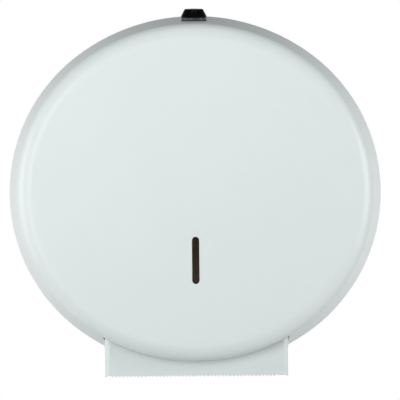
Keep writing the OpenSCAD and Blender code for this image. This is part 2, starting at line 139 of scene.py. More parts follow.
floor_height = -0.30
floor_reach = 1.25
whiter_from = 0.3
white_from = 1.1
middle_white = 0.55
quarters = ((-1, -1), (1, -1), (1, 1), (-1, 1))
floor_mesh = bpy.data.meshes.new("floor")
floor_mesh.from_pydata([(x * floor_reach, y * floor_reach, floor_height) for x, y in quarters], [],
                       [(0, 1, 2, 3)])
floor = bpy.data.objects.new("floor", floor_mesh)
bpy.context.scene.collection.objects.link(floor)
floor_paint = bpy.data.materials.new("floor_paint")
floor_paint.use_nodes = True
tree = floor_paint.node_tree
tree.nodes.clear()
where = add_node(tree, "ShaderNodeTexCoord").outputs["Object"]
flat = add_node(tree, "ShaderNodeVectorMath", {0: where, 1: (1, 1, 0)}, operation="MULTIPLY")
reach = add_node(tree, "ShaderNodeVectorMath", {0: flat.outputs[0]}, operation="LENGTH")
fade = add_node(tree, "ShaderNodeMapRange", {"Value": reach.outputs["Value"], "From Min": whiter_from,
                                             "From Max": white_from, "To Min": middle_white, "To Max": 1})
from_camera, mirrored = ray_kinds(tree)
shown = math_node(tree, "MULTIPLY", fade.outputs[0], math_node(tree, "MAXIMUM", from_camera, mirrored))
matt = add_node(tree, "ShaderNodeBsdfDiffuse", {"Color": (0.86, 0.87, 0.87, 1)})
glow = add_node(tree, "ShaderNodeEmission", {"Color": (1, 1, 1, 1), "Strength": 1})
mixed = add_node(tree, "ShaderNodeMixShader", {0: shown, 1: matt.outputs[0], 2: glow.outputs[0]})
add_node(tree, "ShaderNodeOutputMaterial", {"Surface": mixed.outputs[0]})
floor_mesh.materials.append(floor_paint)

# ---- Back plate --------------------------------------------------------------------------------
# An oval steel plate, screwed to the wall, that carries the rest. Its edge is folded forward as a
# stiffening flange except beside the chute and at two small tabs. It has a thin brown primer, whose
# colour is also darkened as painted shade for the dim inside of the closed case.
mm = 0.001
cover_low, cover_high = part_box("cover_shell")
rim_half_width = cover_high.x
rim_half_height = cover_high.z
# The rim is an oval of four arcs, which meet where it faces 0.6 across and 0.8 up
squat = rim_half_width - rim_half_height
side_radius = rim_half_width - 1.5 * squat
end_radius = rim_half_height + 2 * squat
meet_across = 0.6
meet_up = 0.8
back_sheet = 1.2 * mm
plate_inset = 3.4 * mm
flange_depth = 12 * mm
flange_end = -95 * mm
flange_bend = 2 * mm
tongue_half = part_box("paper_chute")[1].x
tongue_low = -155.2 * mm
wall_holes = [(x, z) for x in (-75 * mm, 75 * mm) for z in (-85 * mm, 85 * mm)]
wall_hole_radius = 3.25 * mm
rivet_shank = 2 * mm
close_fit = 0.02 * mm
chute_rivet_x = 73.8 * mm
chute_rivet_rows = (-147.5 * mm, -128.5 * mm)
chute_rivet_places = [(side * chute_rivet_x, z) for side in (-1, 1) for z in chute_rivet_rows]
base_rivet_circle = 21.5 * mm
base_rivet_places = [(base_rivet_circle * math.cos(turn), base_rivet_circle * math.sin(turn))
                     for turn in (math.radians(45 + 90 * k) for k in range(4))]
keeper_low, keeper_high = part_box("keeper_bracket")
keeper_rivet_edge = 4 * mm
keeper_rivet_x = sum(corner.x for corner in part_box("keeper_rivets")) / 2
keeper_rivet_places = [(keeper_rivet_x, keeper_low.z + keeper_rivet_edge),
                       (keeper_rivet_x, keeper_high.z - keeper_rivet_edge)]
tab_lean = 19
tab_middles = [math.radians(90 - tab_lean), math.radians(90 + tab_lean)]
tab_half = 6 * mm / end_radius
tab_relief = 1.2 * mm / end_radius
tab_end = 0.3 * mm
plate_columns = 320
hair = 1e-6


def oval_point(turn, inset, depth):
    """A point on the four-arc oval, inset from the rim's outline. turn is the direction it faces."""
    across, up = math.cos(turn), math.sin(turn)
    if abs(across) > meet_across:
        centre, radius = Vector((math.copysign(1.5 * squat, across), 0)), side_radius
    else:
        centre, radius = Vector((0, -math.copysign(2 * squat, up))), end_radius
    x, z = centre + (radius - inset) * Vector((across, up))
    return Vector((x, -depth, z))


def oval_turn(height, inset):
    """The direction, below the middle, in which the inset oval is at that height."""
    if abs(height) < meet_up * (side_radius - inset):
        return math.asin(height / (side_radius - inset))
    return math.asin((height - 2 * squat) / (end_radius - inset))


def circle(radius, steps, centre=(0, 0)):
    """A closed round outline."""
    turns = [2 * math.pi * k / steps for k in range(steps)]
    return [(centre[0] + radius * math.cos(turn), centre[1] + radius * math.sin(turn)) for turn in turns]


def edges_of(bm, ring):
    """The edges round a closed ring of vertices, made where they are missing."""
    return [bm.edges.get((a, b)) or bm.edges.new((a, b)) for a, b in zip(ring, ring[1:] + ring[:1])]


def filled(bm, rings, normal):
    """A flat face inside the first closed ring of vertices, with a hole at each of the others."""
    bmesh.ops.triangle_fill(bm, use_beauty=True, normal=normal,
                            edges=[edge for ring in rings for edge in edges_of(bm, ring)])


def band(bm, first, second, closed=True, skip=()):
    """Faces between two rows of vertices, apart from the columns in skip."""
    count = len(first) if closed else len(first) - 1
    for k in range(count):
        if k not in skip:
            n = (k + 1) % len(first)
            bm.faces.new((first[k], first[n], second[n], second[k]))


def piece_from(bm, name):
    """Makes a named object of a finished bmesh, with doubles merged and loose points removed."""
    bmesh.ops.remove_doubles(bm, verts=bm.verts, dist=1e-7)
    bmesh.ops.delete(bm, geom=[v for v in bm.verts if not v.link_faces], context="VERTS")
    bmesh.ops.recalc_face_normals(bm, faces=bm.faces)
    mesh = bpy.data.meshes.new(name)
    bm.to_mesh(mesh)
    bm.free()
    piece = bpy.data.objects.new(name, mesh)
    bpy.context.scene.collection.objects.link(piece)
    return piece


def made_plain(piece):
    """Turns a piece and its modifiers into one plain mesh."""
    depsgraph = bpy.context.evaluated_depsgraph_get()
    mesh = bpy.data.meshes.new_from_object(piece.evaluated_get(depsgraph))
    piece.modifiers.clear()
    piece.data = mesh
    return piece


def thickened(piece, sheet, inside=0):
    """Gives a skin the thickness of its sheet, on its inner side, which takes the material inside."""
    solidify = piece.modifiers.new("sheet", "SOLIDIFY")
    solidify.thickness = sheet
    solidify.offset = -1
    solidify.use_even_offset = True
    solidify.use_quality_normals = True
    solidify.material_offset = inside
    return made_plain(piece)


def shaded_flat(piece):
    """Smooth shading in which flat faces stay flat up to their rounded edges."""
    piece.data.shade_smooth()
    weighted = piece.modifiers.new("flat_faces", "WEIGHTED_NORMAL")
    weighted.mode = "FACE_AREA_WITH_ANGLE"
    weighted.keep_sharp = True
    return made_plain(piece)


def edges_broken(piece, width, steps=2, limit=50):
    """Rounds the edges of a piece that are sharper than the limit in degrees."""
    bevel = piece.modifiers.new("broken_edges", "BEVEL")
    bevel.width = width
    bevel.segments = steps
    bevel.limit_method = "ANGLE"
    bevel.angle_limit = math.radians(limit)
    return made_plain(piece)


def shader_group(name, inputs, outputs):
    """A group for an effect that several finishes share, with its own input and output nodes."""
    group = bpy.data.node_groups.new(name, "ShaderNodeTree")
    for label, kind, value in inputs:
        group.interface.new_socket(label, in_out="INPUT", socket_type=kind).default_value = value
    for label, kind in outputs:
        group.interface.new_socket(label, in_out="OUTPUT", socket_type=kind)
    return group, group.nodes.new("NodeGroupInput").outputs, group.nodes.new("NodeGroupOutput").inputs


def noise(tree, spot, scale, detail, roughness=0.5):
    """A mottle over a surface, with scale patches to the metre."""
    return add_node(tree, "ShaderNodeTexNoise", {"Vector": spot, "Scale": scale, "Detail": detail,
                                                 "Roughness": roughness}).outputs["Fac"]


def end_of_skin(skin, out, color, tone, roughness, depth, height):
    """Every skin ends with a colour scaled by a tone, a roughness and the normal of a relief."""
    tinted = add_node(skin, "ShaderNodeVectorMath", {0: color, "Scale": tone}, operation="SCALE")
    bump = add_node(skin, "ShaderNodeBump", {"Strength": 1, "Distance": depth, "Height": height})
    skin.links.new(tinted.outputs[0], out["Color"])
    skin.links.new(roughness, out["Roughness"])
    skin.links.new(bump.outputs[0], out["Normal"])


skin_outputs = [("Color", "NodeSocketColor"), ("Roughness", "NodeSocketFloat"),
                ("Normal", "NodeSocketVector")]

# Powder coat: a fine orange peel, slightly uneven gloss and a faint change of tone over the sheet
coat_skin, coat_in, coat_out = shader_group(
    "coat_skin",
    [("Color", "NodeSocketColor", (1, 1, 1, 1)), ("Peel Size", "NodeSocketFloat", 1.6 * mm),
     ("Peel Height", "NodeSocketFloat", 0.01 * mm), ("Roughness", "NodeSocketFloat", 0.4),
     ("Unevenness", "NodeSocketFloat", 0.06), ("Mottle", "NodeSocketFloat", 0.03)], skin_outputs)
grit_scale = 5200
grit_share = 0.12
cloud_scale = 14
spot = add_node(coat_skin, "ShaderNodeTexCoord").outputs["Object"]
peel = noise(coat_skin, spot, math_node(coat_skin, "DIVIDE", 1.0, coat_in["Peel Size"]), 2, 0.45)
grit = noise(coat_skin, spot, grit_scale, 1)
height = math_node(coat_skin, "MULTIPLY_ADD", grit, grit_share, peel)
drift = math_node(coat_skin, "SUBTRACT", noise(coat_skin, spot, cloud_scale, 3, 0.6), 0.5)
gloss = math_node(coat_skin, "MULTIPLY_ADD", drift, coat_in["Unevenness"], coat_in["Roughness"])
tone = math_node(coat_skin, "MULTIPLY_ADD", drift, coat_in["Mottle"], 1.0)
end_of_skin(coat_skin, coat_out, coat_in["Color"], tone, gloss, coat_in["Peel Height"], height)


def finish(name, skin, values, **shader):
    """A material: one Principled shader fed by a skin group with this finish's own values."""
    material = bpy.data.materials.new(name)
    material.use_nodes = True
    tree = material.node_tree
    group = add_node(tree, "ShaderNodeGroup", node_tree=skin)
    for key, value in values.items():
        group.inputs[key].default_value = value
    surface = tree.nodes["Principled BSDF"]
    for label, socket in (("Color", "Base Color"), ("Roughness", "Roughness"), ("Normal", "Normal")):
        tree.links.new(group.outputs[label], surface.inputs[socket])
    for key, value in shader.items():
        surface.inputs[key.replace("_", " ")].default_value = value
    return material


def painted(piece, *materials):
    """Gives a piece its material, and where it has two sides, the one of its inner side after it."""
    piece.data.materials.clear()
    for material in materials:
        piece.data.materials.append(material)
    return piece


bend_steps = 6
side_steps = 24
tip_steps = 16
tab_steps = 3
bm = bmesh.new()
start_turn = oval_turn(flange_end, plate_inset + flange_bend)
turns = [start_turn + (math.pi - 2 * start_turn) * k / plate_columns for k in range(plate_columns + 1)]
tab_reach = tab_half + tab_relief
turns = [turn for turn in turns if min(abs(turn - middle) for middle in tab_middles) > tab_reach]
turns += [middle + side * reach for middle in tab_middles for side in (-1, 1)
          for reach in (tab_half, tab_reach)]
turns.sort()
flange_rows = [(plate_inset + flange_bend * (1 - math.sin(lean)), flange_bend * (1 - math.cos(lean)))
               for lean in (math.pi / 2 * step / bend_steps for step in range(bend_steps + 1))]
flange_rows += [(plate_inset, 5 * mm), (plate_inset, 9 * mm), (plate_inset, flange_depth)]
folded = [[bm.verts.new(oval_point(turn, *row)) for turn in turns] for row in flange_rows]
between = [(first + second) / 2 for first, second in zip(turns, turns[1:])]
beside_tabs = [k for k, turn in enumerate(between)
               if min(abs(turn - middle) for middle in tab_middles) < tab_reach]
for first, second in zip(folded, folded[1:]):
    band(bm, first, second, closed=False, skip=beside_tabs)

# The plate's outline: along the flange with its two tabs, then down and round the tongue below
outline = []
for vert, turn in zip(folded[0], turns):
    outline.append(vert)
    for middle in tab_middles:
        if abs(turn - (middle - tab_half)) < hair:
            outline += [bm.verts.new(oval_point(middle + tab_half * k / tab_steps, tab_end, 0))
                        for k in range(-tab_steps, tab_steps + 1)]
low_turn = oval_turn(flange_end, plate_inset)
side_turn = -math.acos(tongue_half / (end_radius - plate_inset))
tip_turn = oval_turn(tongue_low, plate_inset)
half_outline = [oval_point(low_turn + (side_turn - low_turn) * k / side_steps, plate_inset, 0)
                for k in range(side_steps + 1)]
half_outline.append(Vector((tongue_half, 0, tongue_low)))
half_outline += [oval_point(tip_turn + (-math.pi / 2 - tip_turn) * k / tip_steps, plate_inset, 0)
                 for k in range(tip_steps)]
outline += [bm.verts.new((-p.x, p.y, p.z)) for p in half_outline]
outline += [bm.verts.new(p) for p in [oval_point(-math.pi / 2, plate_inset, 0)] + half_outline[::-1]]
holes = [circle(wall_hole_radius, 32, place) for place in wall_holes]
holes += [circle(rivet_shank + close_fit, 24, place)
          for place in chute_rivet_places + base_rivet_places + keeper_rivet_places]
filled(bm, [outline] + [[bm.verts.new((x, 0, z)) for x, z in hole] for hole in holes], (0, 1, 0))
back_plate = piece_from(bm, "back_plate_sheet")
# Painted shade: the primer's brown is made dark so that the inside of the closed case, seen through the sight
# slot, looks dim.
primer_with_painted_shade = finish("primer_with_painted_shade", coat_skin, {"Color": (0.40, 0.285, 0.195, 1), "Roughness": 0.55,
                                      "Peel Size": 2.2 * mm, "Unevenness": 0.12, "Mottle": 0.16})
painted(back_plate, primer_with_painted_shade)
thickened(back_plate, back_sheet)
edges_broken(back_plate, 0.25 * mm)
# The broken edges of the tabs' reliefs would stand a hair behind the plate's rear face
for vertex in back_plate.data.vertices:
    vertex.co.y = min(vertex.co.y, 0)
shaded_flat(back_plate)
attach(back_plate, "housing")
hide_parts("back_plate")

# ---- Rim buffers -------------------------------------------------------------------------------
# Two small black rubber pads on the plate's tabs, that the cover's rim closes against.
flat_limit = math.radians(0.8)


def softened(node, name, width, steps=3):
    """A copy of a CAD node with its points merged, its flat faces whole and its edges rounded."""
    bm = bmesh.new()
    bm.from_mesh(frame["nodes"][node].data)
    bmesh.ops.remove_doubles(bm, verts=bm.verts, dist=hair)
    bmesh.ops.dissolve_limit(bm, angle_limit=flat_limit, verts=bm.verts, edges=bm.edges)
    return shaded_flat(edges_broken(piece_from(bm, name), width, steps, 30))


# Moulded plastic and rubber: a fine spark-eroded grain, a little change of tone and faint rub marks
moulded_skin, moulded_in, moulded_out = shader_group(
    "moulded_skin",
    [("Color", "NodeSocketColor", (0.5, 0.5, 0.5, 1)), ("Grain Size", "NodeSocketFloat", 0.3 * mm),
     ("Grain Height", "NodeSocketFloat", 0.01 * mm), ("Roughness", "NodeSocketFloat", 0.5),
     ("Rubbing", "NodeSocketFloat", 0.15)], skin_outputs)
smear_scale = 110
smear_tone = 0.16
spot = add_node(moulded_skin, "ShaderNodeTexCoord").outputs["Object"]
grain = noise(moulded_skin, spot, math_node(moulded_skin, "DIVIDE", 1.0, moulded_in["Grain Size"]), 3, 0.6)
uneven = math_node(moulded_skin, "SUBTRACT", noise(moulded_skin, spot, smear_scale, 4, 0.65), 0.5)
gloss = math_node(moulded_skin, "MULTIPLY_ADD", uneven, moulded_in["Rubbing"], moulded_in["Roughness"])
tone = math_node(moulded_skin, "MULTIPLY_ADD", uneven, smear_tone, 1.0)
end_of_skin(moulded_skin, moulded_out, moulded_in["Color"], tone, gloss, moulded_in["Grain Height"], grain)

rubber = finish("rubber", moulded_skin, {"Color": (0.03, 0.03, 0.03, 1), "Roughness": 0.75,
                                         "Grain Size": 0.25 * mm})
buffers = painted(softened("rim_buffers", "buffer_pads", 0.35 * mm), rubber)
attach(buffers, "housing")
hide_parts("rim_buffers")

# ---- Paper chute -------------------------------------------------------------------------------
# One bent steel sheet, open above and below, that guides the paper out under the cover. Its lower
# edge is serrated for tearing, two inward flanges at the rear are riveted to the plate, and it is
# powder coated white like the cover.
chute_low, chute_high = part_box("paper_chute")
chute_half = chute_high.x
chute_front = -chute_low.y
chute_sheet = 1.2 * mm
chute_bend = 4.5 * mm
foot_bend = 2 * mm
foot_end = 67.8 * mm
foot_low = -154 * mm
tooth_pitch = 3.25 * mm
tooth_depth = 1.6 * mm
tooth_cut = 0.5 * mm
tooth_strip = 1.4 * mm
tear_line = chute_low.z + tooth_depth
cheek_top = chute_high.z
middle_top = cheek_top - 14 * mm
shoulder_outer = chute_half - 11 * mm
shoulder_inner = chute_half - 31 * mm
front_teeth = 45
cheek_teeth = 26


def straight(start, end, steps):
    """Points from start up to, but without, end."""
    start, end = Vector(start), Vector(end)
    return [start.lerp(end, k / steps) for k in range(steps)]


def bend(centre, radius, first, last, steps):
    """Points of a bend in plan, from one angle in degrees to another, without the last."""
    turns = [math.radians(first + (last - first) * k / steps) for k in range(steps)]
    return [Vector(centre) + radius * Vector((math.cos(turn), math.sin(turn))) for turn in turns]


def lerp(first, second, share):
    """A value between two others, held at them beyond both ends."""
    return first + (second - first) * min(max(share, 0), 1)


def chute_top(x):
    """The height of the chute's top edge at a place across it."""
    return lerp(cheek_top, middle_top, (shoulder_outer - abs(x)) / (shoulder_outer - shoulder_inner))


def geometry_group(name, inputs):
    """A Geometry Nodes tree with named inputs. Returns it with its input and output sockets."""
    group = bpy.data.node_groups.new(name, "GeometryNodeTree")
    group.interface.new_socket("Geometry", in_out="INPUT", socket_type="NodeSocketGeometry")
    for label, kind in inputs:
        group.interface.new_socket(label, in_out="INPUT", socket_type=kind)
    group.interface.new_socket("Geometry", in_out="OUTPUT", socket_type="NodeSocketGeometry")
    return group, group.nodes.new("NodeGroupInput").outputs, group.nodes.new("NodeGroupOutput").inputs


def end_of_tree(group, geometry, material, output):
    """Every tree ends with its instances made real and its finish set."""
    real = add_node(group, "GeometryNodeRealizeInstances", {"Geometry": geometry})
    coated = add_node(group, "GeometryNodeSetMaterial", {"Geometry": real.outputs[0], "Material": material})
    group.links.new(coated.outputs[0], output[0])


def run_tree(piece, group, values):
    """Runs a tree on a piece with its values, each set by its socket's identifier."""
    modifier = piece.modifiers.new(group.name, "NODES")
    modifier.node_group = group
    for item in group.interface.items_tree:
        if item.in_out == "INPUT" and item.name in values:
            modifier[item.identifier] = values[item.name]
    return made_plain(piece)


# The teeth: the lower edge is drawn down in a zigzag, by how far each of its points lies along it.
# The gaps are cut a little above the plain edge, which is therefore drawn down part of the way too.
serration, given, out = geometry_group("serration", [("Pitch", "NodeSocketFloat"),
                                                     ("Depth", "NodeSocketFloat"),
                                                     ("Finish", "NodeSocketMaterial")])
marked = add_node(serration, "GeometryNodeInputNamedAttribute", {"Name": "along_edge"}, data_type="FLOAT")
half_pitch = math_node(serration, "DIVIDE", given["Pitch"], 2.0)
zigzag = math_node(serration, "PINGPONG", marked.outputs["Attribute"], half_pitch)
share = math_node(serration, "DIVIDE", zigzag, half_pitch)
drop = math_node(serration, "MULTIPLY", share, math_node(serration, "MULTIPLY", given["Depth"], -1.0))
shift = add_node(serration, "ShaderNodeCombineXYZ", {"Z": drop})
toothed = add_node(serration, "GeometryNodeSetPosition",
                   {"Geometry": given["Geometry"], "Offset": shift.outputs[0]})
end_of_tree(serration, toothed.outputs[0], given["Finish"], out)

# In plan: the left flange, the left cheek forward and the corner, the front, then the same mirrored
bend_place = chute_half - chute_bend
cheek_end = chute_front - chute_bend
cheek_start = cheek_end - cheek_teeth * tooth_pitch
foot = straight((-foot_end, back_sheet), (foot_bend - chute_half, back_sheet), 6)
foot += bend((foot_bend - chute_half, back_sheet + foot_bend), foot_bend, -90, -180, 6)
cheek = straight((-chute_half, back_sheet + foot_bend), (-chute_half, cheek_start), 6)
cheek += straight((-chute_half, cheek_start), (-chute_half, cheek_end), 2 * cheek_teeth)
corner = bend((-bend_place, cheek_end), chute_bend, 180, 90, 10)
teeth_left = -chute_half + 5 * mm
teeth_right = teeth_left + front_teeth * tooth_pitch
front = {-bend_place, bend_place, *(side * x for side in (-1, 1) for x in (shoulder_inner, shoulder_outer))}
front |= {teeth_left + k * tooth_pitch / 2 for k in range(2 * front_teeth + 1)}
front |= {teeth_right + k * (bend_place - teeth_right) / 4 for k in range(4)}
mirrored = [Vector((-p.x, p.y)) for p in (foot + cheek + corner)[::-1]]
plan = foot + cheek + corner + [Vector((x, chute_front)) for x in sorted(front)] + mirrored

# The plain edge is as high as the zigzag is at this distance from a gap
plain_phase = tooth_cut / tooth_depth * tooth_pitch / 2
bm = bmesh.new()
along_edge = bm.verts.layers.float.new("along_edge")
columns = []
for p in plan:
    top = chute_top(p.x)
    heights = [tear_line, tear_line + tooth_strip, foot_low, foot_low + (top - foot_low) / 3,
               foot_low + (top - foot_low) * 2 / 3, top]
    columns.append([bm.verts.new((p.x, -p.y, z)) for z in heights])
    columns[-1][0][along_edge] = plain_phase
    if p.y > chute_front - hair and teeth_left < p.x < teeth_right:
        columns[-1][0][along_edge] = p.x - teeth_left
    elif abs(p.x) > chute_half - hair and cheek_start < p.y < cheek_end:
        columns[-1][0][along_edge] = p.y - cheek_start
for index, (first, second) in enumerate(zip(columns, columns[1:])):
    at_foot = index < len(foot) or index >= len(columns) - 1 - len(foot)
    band(bm, first, second, closed=False, skip=(0, 1) if at_foot else ())
chute = piece_from(bm, "paper_chute_sheet")
white_coat = finish("white_coat", coat_skin, {"Color": (0.72, 0.79, 0.78, 1), "Roughness": 0.4})
run_tree(chute, serration, {"Pitch": tooth_pitch, "Depth": tooth_depth, "Finish": white_coat})
painted(chute, white_coat)
thickened(chute, chute_sheet)
edges_broken(chute, 0.2 * mm, 2, 70)
shaded_flat(chute)
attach(chute, "housing")
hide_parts("paper_chute")

# ---- Spindle -----------------------------------------------------------------------------------
# A zinc plated steel base with a boss, and the turned shaft pressed into it. On the shaft lie a
# blackened conical washer and a fibre washer that brake the hub, and in front of the hub a steel
# washer and the clip that keeps everything on.
from_wall = Matrix.Rotation(math.pi / 2, 4, "X")
shaft_radius = 6 * mm
boss_depth = 9 * mm
friction_depth = 10.3 * mm
clip_depth = 109.6 * mm
clip_sheet = 1 * mm
hub_front = 108 * mm
washer_bore = 6.3 * mm


def turned(bm, profile, place=None, steps=96, shape=None, closed=True):
    """Spins a profile of (radius, height) about place's Z axis. shape bends each point first, and
    closed joins the profile's last point to its first."""
    place = place or Matrix()
    shape = shape or (lambda point: point)
    rings = []
    for radius, height in profile:
        if radius < hair:
            rings.append([bm.verts.new(place @ Vector((0, 0, height)))] * steps)
        else:
            rings.append([bm.verts.new(place @ shape(Vector((x, y, height))))
                          for x, y in circle(radius, steps)])
    for first, second in zip(rings, rings[1:] + rings[:1] if closed else rings[1:]):
        for k in range(steps):
            n = (k + 1) % steps
            corners = list(dict.fromkeys((first[k], first[n], second[n], second[k])))
            if len(corners) > 2:
                bm.faces.new(corners)
    return rings


def smooth(piece, limit=32):
    """Smooth shading that keeps the corners which are sharper than the limit in degrees."""
    piece.data.shade_smooth()
    piece.data.set_sharp_from_angle(angle=math.radians(limit))
    return piece


def ring_profile(bore, radius, low, high, inner, outer):
    """The profile of a ring with its edges broken, by inner at its bore and by outer at its rim."""
    return [(bore, low + inner), (bore + inner, low), (radius - outer, low), (radius, low + outer),
            (radius, high - outer), (radius - outer, high), (bore + inner, high), (bore, high - inner)]


def washer(name, bore, radius, low, high, chamfer=0.12 * mm, place=from_wall):
    """A flat ring, its edges a little broken."""
    bm = bmesh.new()
    turned(bm, ring_profile(bore, radius, low, high, chamfer, chamfer), place)
    return smooth(piece_from(bm, name))


def plate(bm, outlines, thickness, place):
    """A flat plate on place's XY plane. The first outline is its edge, the others are holes in it."""
    levels = []
    for height in (0, thickness):
        rings = [[bm.verts.new(place @ Vector((x, y, height))) for x, y in outline] for outline in outlines]
        filled(bm, rings, place.to_3x3() @ Vector((0, 0, 1)))
        levels.append(rings)
    for low, high in zip(*levels):
        band(bm, low, high)


# Zinc plate: metal with a fine crystalline mottle, a little colour from its passivation and scuffs
zinc_skin, zinc_in, zinc_out = shader_group(
    "zinc_skin",
    [("Color", "NodeSocketColor", (0.6, 0.61, 0.62, 1)), ("Crystal Size", "NodeSocketFloat", 0.5 * mm),
     ("Passivation", "NodeSocketFloat", 1), ("Roughness", "NodeSocketFloat", 0.24)], skin_outputs)
crystal_darkest = 0.93
crystal_contrast = 0.1
bluish = (0.97, 1, 1.04, 1)
yellowish = (1.07, 1.01, 0.9, 1)
film_scale = 60
scuff_scale = 900
scuff_roughness = 0.15
scuff_height = 0.5
zinc_relief = 0.003 * mm
spot = add_node(zinc_skin, "ShaderNodeTexCoord").outputs["Object"]
crystal_scale = math_node(zinc_skin, "DIVIDE", 1.0, zinc_in["Crystal Size"])
crystal = add_node(zinc_skin, "ShaderNodeTexVoronoi", {"Vector": spot, "Scale": crystal_scale})
grain = add_node(zinc_skin, "ShaderNodeRGBToBW", {"Color": crystal.outputs["Color"]}).outputs[0]
scuff = noise(zinc_skin, spot, scuff_scale, 4, 0.7)
film = noise(zinc_skin, spot, film_scale, 2)
stained = math_node(zinc_skin, "MULTIPLY", film, zinc_in["Passivation"])
tint = add_node(zinc_skin, "ShaderNodeMix", {0: stained, 6: bluish, 7: yellowish}, data_type="RGBA")
hue = add_node(zinc_skin, "ShaderNodeVectorMath", {0: zinc_in["Color"], 1: tint.outputs[2]},
               operation="MULTIPLY")
shade = math_node(zinc_skin, "MULTIPLY_ADD", grain, crystal_contrast, crystal_darkest)
rough = math_node(zinc_skin, "MULTIPLY_ADD", scuff, scuff_roughness, zinc_in["Roughness"])
relief = math_node(zinc_skin, "MULTIPLY_ADD", scuff, scuff_height, grain)
end_of_skin(zinc_skin, zinc_out, hue.outputs[0], shade, rough, zinc_relief, relief)
zinc_plate = finish("zinc_plate", zinc_skin, {"Color": (0.62, 0.63, 0.64, 1)}, Metallic=1)
black_spring = finish("black_spring", zinc_skin, {"Color": (0.09, 0.09, 0.1, 1), "Passivation": 0.3,
                                                  "Roughness": 0.3, "Crystal Size": 0.2 * mm}, Metallic=1)
fibre = finish("fibre", moulded_skin, {"Color": (0.3, 0.17, 0.09, 1), "Grain Size": 0.12 * mm,
                                       "Grain Height": 0.03 * mm, "Roughness": 0.8})

bm = bmesh.new()
base_radius = 32 * mm
boss_radius = 11 * mm
base_low = back_sheet
base_high = base_low + 2 * mm
fillet = 2 * mm
hollow = [(boss_radius + fillet * (1 - math.sin(lean)), base_high + fillet * (1 - math.cos(lean)))
          for lean in (math.pi / 2 * step / 8 for step in range(9))]
turned(bm, [(shaft_radius + close_fit, base_low), (base_radius - 0.3 * mm, base_low),
            (base_radius, base_low + 0.3 * mm), (base_radius, base_high - 0.4 * mm),
            (base_radius - 0.12 * mm, base_high - 0.12 * mm), (base_radius - 0.4 * mm, base_high)] + hollow
       + [(boss_radius, boss_depth - 0.5 * mm), (boss_radius - 0.5 * mm, boss_depth),
          (shaft_radius + 0.4 * mm, boss_depth), (shaft_radius + close_fit, boss_depth - 0.4 * mm)],
       from_wall)
base = painted(smooth(piece_from(bm, "spindle_flange")), zinc_plate)
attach(base, "housing")
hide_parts("spindle_base")

bm = bmesh.new()
groove_radius = 5.25 * mm
groove = (clip_depth - 0.05 * mm, clip_depth + clip_sheet + 0.05 * mm)
tip = -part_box("spindle_shaft")[0].y
turned(bm, [(0, base_low), (shaft_radius, base_low), (shaft_radius, groove[0]), (groove_radius, groove[0]),
            (groove_radius, groove[1]), (shaft_radius, groove[1]), (shaft_radius, tip - 1 * mm),
            (shaft_radius - 1 * mm, tip), (1.3 * mm, tip), (0.3 * mm, tip - 0.9 * mm), (0, tip - 0.9 * mm)],
       from_wall)
shaft = painted(smooth(piece_from(bm, "turned_shaft")), zinc_plate)
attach(shaft, "housing")
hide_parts("spindle_shaft")

bm = bmesh.new()
cone_sheet = 0.6 * mm
cone_edge = washer_bore + 0.1 * mm
washer_radius = 12 * mm
turned(bm, [(washer_bore, boss_depth + 0.04 * mm), (cone_edge, boss_depth),
            (washer_radius, friction_depth - cone_sheet), (washer_radius, friction_depth),
            (cone_edge, boss_depth + cone_sheet), (washer_bore, boss_depth + cone_sheet - 0.04 * mm)],
       from_wall)
cone = painted(smooth(piece_from(bm, "conical_washer")), black_spring)
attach(cone, "housing")
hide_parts("brake_washer")

fibre_high = friction_depth + 1.5 * mm
fibre_ring = painted(washer("fibre_ring", washer_bore, washer_radius, friction_depth, fibre_high), fibre)
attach(fibre_ring, "housing")
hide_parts("friction_washer")

end_washer_low = hub_front + 0.3 * mm
end_washer_high = end_washer_low + 1 * mm
end_washer = painted(washer("end_washer", washer_bore, 10 * mm, end_washer_low, end_washer_high), zinc_plate)
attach(end_washer, "housing")
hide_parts("front_washer")

# The clip grips the groove with three lobes, and is hollow between them
bm = bmesh.new()
clip_radius = 8.5 * mm
clip_hollow = 1.5 * mm
grip_radius = groove_radius + close_fit
opening = 0.7 * grip_radius
side_lobe = math.radians(118)
lobe_half = math.radians(14)
lobe_flank = math.radians(12)


def clip_bore(turn):
    """The inner radius of the clip in one direction, measured from straight up."""
    from_lobe = min(abs(turn), abs(abs(turn) - side_lobe))
    rise = lerp(0, 1, (from_lobe - lobe_half) / lobe_flank)
    return grip_radius + clip_hollow * rise * rise * (3 - 2 * rise)


outer_end = math.pi - math.asin(opening / clip_radius)
inner_end = math.pi - math.asin(opening / grip_radius)
clip_outline = [(clip_radius, outer_end * k / 30) for k in range(-30, 31)]
clip_outline += [(clip_bore(inner_end * k / 40), inner_end * k / 40) for k in range(40, -41, -1)]
clip_points = [(radius * math.sin(turn), radius * math.cos(turn)) for radius, turn in clip_outline]
plate(bm, [clip_points], clip_sheet, from_wall @ Matrix.Translation((0, 0, clip_depth)))
clip = shaded_flat(edges_broken(piece_from(bm, "shaft_clip"), 0.12 * mm, 2, 60))
painted(clip, black_spring)
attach(clip, "housing")
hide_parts("retaining_clip")

# ---- Roll hub ----------------------------------------------------------------------------------
# A grey moulded tube with a collar behind, that the roll's core slides on. Ribs stiffen its front
# end, and natural nylon bushes at both ends run on the shaft.
hub_rear = 12.1 * mm
hub_radius = 22 * mm
hub_collar = 30 * mm
hub_wall = 2.5 * mm
bush_radius = 8.5 * mm
bush_length = 12 * mm
running_bore = shaft_radius + 0.05 * mm
sleeve_radius = 10.5 * mm
pocket_depth = 6 * mm
rib_count = 8
rib_half = 0.8 * mm


